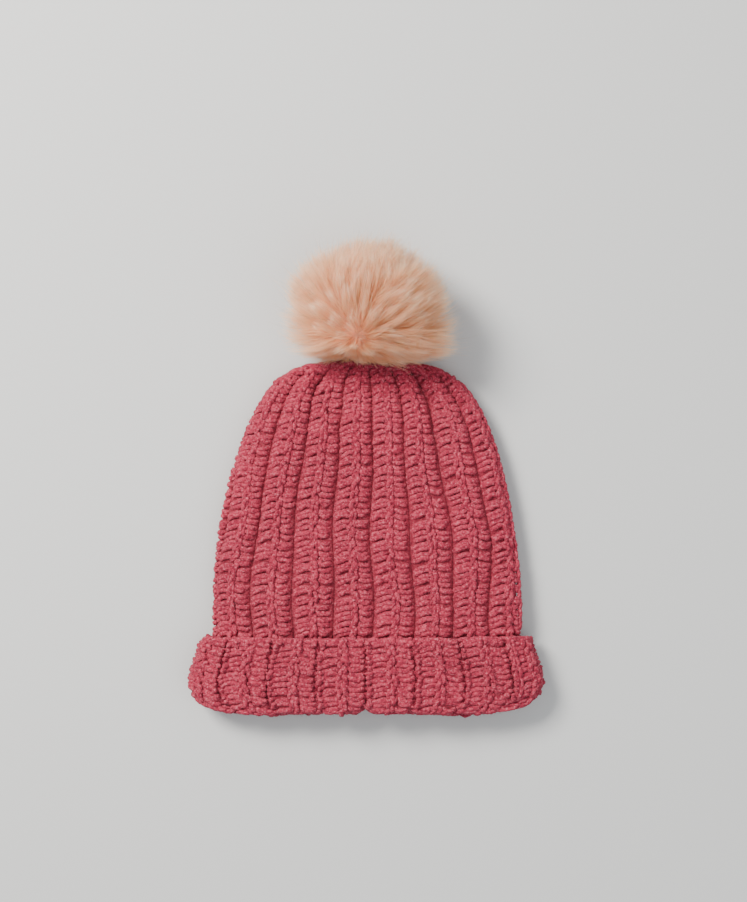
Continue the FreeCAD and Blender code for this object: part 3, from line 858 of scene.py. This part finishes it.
def guide(n, length, jitter, steps):
    """Lines of hair from the places n on the ball: they leave along the normal and bend over with the nap."""
    th = np.arccos(np.clip(n @ WHORL, -1, 1))
    tilt = 1.30 * smooth(th / 0.30) * smooth((math.pi - th) / 0.7) * (1 - 0.30 * smooth((th - 0.5) / 1.0))
    length = length * (0.48 + 0.52 * smooth(th / 1.15))
    s = np.linspace(0, 1, steps)
    bend = tilt[:, None] * (0.55 + 0.65 * s[None])
    t = lean(n)
    d = n[:, None] * np.cos(bend)[..., None] + t[:, None] * np.sin(bend)[..., None]
    d = unit(d + jitter[:, None] * (0.4 + s[None, :, None]))
    step = length[:, None, None] / (steps - 1)
    path = np.concatenate([np.zeros((len(n), 1, 3)), np.cumsum((d[:, :-1] + d[:, 1:]) / 2 * step, 1)], 1)
    return POM + n[:, None] * BALL_R * 0.985 + path


def settle(p):
    """Keeps hair above the table and outside the hat's crown, which it lies over for a short way."""
    p[..., 1] = np.where(p[..., 1] < 84, 84 - (84 - p[..., 1]) * 0.68, p[..., 1])
    z, soft = p[..., 2], TABLE_HAIR - 0.7
    p[..., 2] = np.where(z < TABLE_HAIR, 0.7 + soft * np.exp((z - TABLE_HAIR) / soft), z)
    room = smooth((56 - np.abs(p[..., 0])) / 10)
    over = CROWN_TOP - p[..., 2]
    deep = CROWN_EDGE - p[..., 1]
    inside = (over > 0) & (deep > 0)
    lift = (p[:, :1, 2] > 30) | (over < deep * 0.6)
    p[..., 2] += np.where(inside & lift, over, 0) * room
    p[..., 1] += np.where(inside & ~lift, deep, 0) * room
    return p


def spread_out(p):
    """The pile fans out over the hat's crown and is brushed a little flat at its top."""
    out = np.linspace(0, 1, p.shape[1])[None] ** 0.8
    side, y = smooth((np.abs(p[..., 0]) - 8) / 25), p[..., 1].copy()
    p[..., 0] *= 1 + 0.10 * smooth((112 - y) / 30) * out * side
    p[..., 1] = np.where(y > 122, 122 + (y - 122) * 0.84, y - 7.0 * smooth((106 - y) / 22) * out * side)
    return p


def hairs(count, seed, long, spread, clump_pull, radius):
    """Curved hairs (count, steps, 3), gathered into locks and lobes."""
    r = np.random.default_rng(seed)
    n = ball_points(count, seed)
    locks = ball_points(LOCKS, seed + 1)
    lr = np.random.default_rng(seed + 2)
    near = np.argmax(n @ locks.T, 1)
    toward = np.max(locks @ unit(LOBES - POM).T, 1)
    lock_length = LOCK_LENGTH * lr.uniform(0.80, 1.12, LOCKS) * (0.86 + 0.38 * smooth((toward - 0.85) / 0.14))
    lock_path = guide(locks, lock_length, lr.normal(size=locks.shape) * 0.20, HAIR_STEPS)
    tip = lock_path[:, -1]
    to = LOBES[None] - tip[:, None]
    pull = np.exp(-(np.linalg.norm(to, axis=2) / TUFT_REACH) ** 2)
    goal = tip + (to * pull[..., None]).sum(1) / np.maximum(pull.sum(1, keepdims=True), 0.5)
    s = np.linspace(0, 1, HAIR_STEPS)
    lock_path = lock_path + (goal - tip)[:, None] * LOCK_PULL * (s ** 1.5)[None, :, None]
    length = HAIR_LENGTH * long * r.uniform(0.72, 1.22, count) ** 1.2
    length = length * (lock_length / lock_length.mean())[near] ** 0.9
    p = guide(n, length, r.normal(size=n.shape) * spread, HAIR_STEPS)
    mine = lock_path[near]
    pulled = clump_pull * r.uniform(0.45, 1.3, (count, 1, 1)).clip(0, 0.96 / clump_pull)
    share = pulled * (s ** 1.1)[None, :, None]
    root_off = p[:, :1] - mine[:, :1]
    p = p * (1 - share) + (mine + root_off * (1 - share)) * share
    wave = r.normal(size=(count, 1, 3)) * np.sin(s * 3.1)[None, :, None] * 0.7
    p = settle(spread_out(p + wave))
    return p, n, radius * r.uniform(0.75, 1.2, count)


def fur_piece(name, p, radius, tint, seed):
    bag = Bag()
    hair_mesh(bag, p, radius, tint, seed)
    o = bag.make(name, FUR)
    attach(o, "pompom")
    return o


SECTORS = 7                      # the pile is made in this many pieces
hp, hn, hr = hairs(36000, 11, long=1.0, spread=0.15, clump_pull=0.66, radius=0.085)
keep = (hn @ -AXIS) < 0.93       # no hair grows at the drawn-up neck
hp, hn, hr = hp[keep], hn[keep], hr[keep]
tint = np.clip(np.random.default_rng(12).normal(0.5, 0.2, len(hp)), 0.02, 0.9)
order = np.argsort(np.arctan2(hn[:, 0], hn[:, 1]))
for i, part in enumerate(np.array_split(order, SECTORS)):
    o = fur_piece("pompom_fur_%d" % (i + 1), hp[part], hr[part], tint[part], 20 + i)
    if i == 0:
        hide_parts("fur_pile")
gp, _, gr = hairs(1500, 31, long=1.22, spread=0.26, clump_pull=0.30, radius=0.065)
dark = np.random.default_rng(33).random(len(gp)) < 0.5
fur_piece("pompom_guard_hairs", gp, gr, np.where(dark, 0.97, 0.6), 41)


def skin_rings(around, down):
    """Rings of a ball that is drawn in to its neck, with soft gathers round the thread."""
    lat = np.linspace(0, 1, down)
    angle = lat * math.radians(172)
    neck = smooth((lat - 0.955) / 0.045)
    ring_r = BALL_R * np.sin(angle) * (1 - neck) + 4.4 * neck
    ring_h = BALL_R * np.cos(angle) - 5.0 * neck
    th = np.linspace(0, 2 * math.pi, around, endpoint=False)
    near_neck = smooth((lat - 0.70) / 0.25)[:, None] * np.minimum(1, ring_r / 8)[:, None]
    gathers = 1 + 0.035 * np.cos(18 * th)[None] * near_neck
    gathers = gathers + 0.010 * np.sin(3 * th + 1.0)[None] * np.sin(5 * lat)[:, None]
    side_x = np.array([1.0, 0.0, 0.0])
    side_y = np.cross(AXIS, side_x)
    x, y = ring_r[:, None] * gathers * np.cos(th), ring_r[:, None] * gathers * np.sin(th)
    h = ring_h[:, None] * np.ones(around)
    return POM + x[..., None] * side_x + y[..., None] * side_y + h[..., None] * AXIS


def stuffed_skin(around=96, down=60):
    """The skin under the pile: closed over its top and across its neck."""
    core = skin_rings(around, down)
    verts = np.concatenate([core.reshape(-1, 3), [POM + AXIS * BALL_R], [POM - AXIS * (BALL_R + 5.0)]])
    top, bottom = len(verts) - 2, len(verts) - 1
    j, i = np.meshgrid(np.arange(1, down - 1), np.arange(around), indexing="ij")
    after = (i + 1) % around
    quads = np.stack([j * around + i, (j + 1) * around + i, (j + 1) * around + after, j * around + after], 2)
    quv = np.stack([np.stack([i + a, j + b], 2) for a, b in ((0, 0), (0, 1), (1, 1), (1, 0))], 2)
    bag = Bag()
    bag.add(verts, quads.reshape(-1, 4), quv.reshape(-1, 4, 2) / np.array([around, down]) * 0.98)
    i = np.arange(around)
    after = (i + 1) % around
    last = (down - 1) * around
    caps = np.concatenate([np.stack([np.full(around, top), around + i, around + after], 1),
                           np.stack([np.full(around, bottom), last + after, last + i], 1)])
    row = np.array([0, 1, 1, down, down - 1, down - 1]) / down * 0.98
    over = [np.stack([i + 0.5, i, i + 1], 1) / around, np.stack([i + 0.5, i + 1, i], 1) / around]
    cuv = [np.stack([u, np.tile(v, (around, 1))], 2) for u, v in zip(over, (row[:3], row[3:]))]
    bag.add_faces(caps, np.concatenate(cuv) * 0.98)
    o = bag.make("pompom_stuffed_skin", BACKING_CLOTH)
    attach(o, "pompom")
    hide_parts("fur_skin", "fibre_filling")


stuffed_skin()

# ---------------------------------------------------------------- the CAD's own parts inside the crown
for node, material in (
    ("anchor_button", cloth_material("button_shell", (0.66, 0.56, 0.47), (0.80, 0.72, 0.62), 160.0)),
    ("elastic_loop", cloth_material("covered_elastic", (0.60, 0.52, 0.46), (0.80, 0.74, 0.68), 2200.0)),
    ("gather_thread", cloth_material("sewing_thread", (0.60, 0.34, 0.24), (0.78, 0.50, 0.38), 2600.0)),
):
    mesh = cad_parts[node].data
    mesh.materials.clear()
    mesh.materials.append(material)

# ---------------------------------------------------------------- the stage, the light and the camera
bpy.ops.mesh.primitive_plane_add(size=6, location=(0, 0, -0.0005))
floor = bpy.context.object
floor.name = "floor"
m, t, b = node_tree("floor")
b.inputs["Base Color"].default_value = (0.52, 0.52, 0.51, 1)
b.inputs["Roughness"].default_value = 0.9
floor.data.materials.append(m)


def area_light(name, at, toward, size, power, color):
    light = bpy.data.lights.new(name, "AREA")
    light.shape, light.size, light.size_y = "RECTANGLE", *size
    light.energy, light.color = power, color
    obj = bpy.data.objects.new(name, light)
    obj.location = at
    obj.rotation_euler = (Vector(toward) - Vector(at)).to_track_quat("-Z", "Y").to_euler()
    bpy.context.scene.collection.objects.link(obj)


area_light("key", (-0.80, 0.70, 1.10), (0, 0, 0), (0.55, 0.55), 54.0, (1.0, 0.97, 0.93))
area_light("fill", (0.9, -0.5, 1.5), (0, 0, 0), (1.6, 1.6), 12.0, (0.95, 0.98, 1.0))
world = bpy.data.worlds.new("world")
bpy.context.scene.world = world
world.use_nodes = True
background = world.node_tree.nodes["Background"]
background.inputs["Color"].default_value = (0.93, 0.96, 1.0, 1)
background.inputs["Strength"].default_value = 0.76

camera = bpy.data.cameras.new("camera")
camera.sensor_fit, camera.sensor_height, camera.lens = "VERTICAL", 36.0, 66.7
camera_obj = bpy.data.objects.new("camera", camera)
camera_obj.location = (0.0049, 0.0175, 1.10)
bpy.context.scene.collection.objects.link(camera_obj)
bpy.context.scene.camera = camera_obj
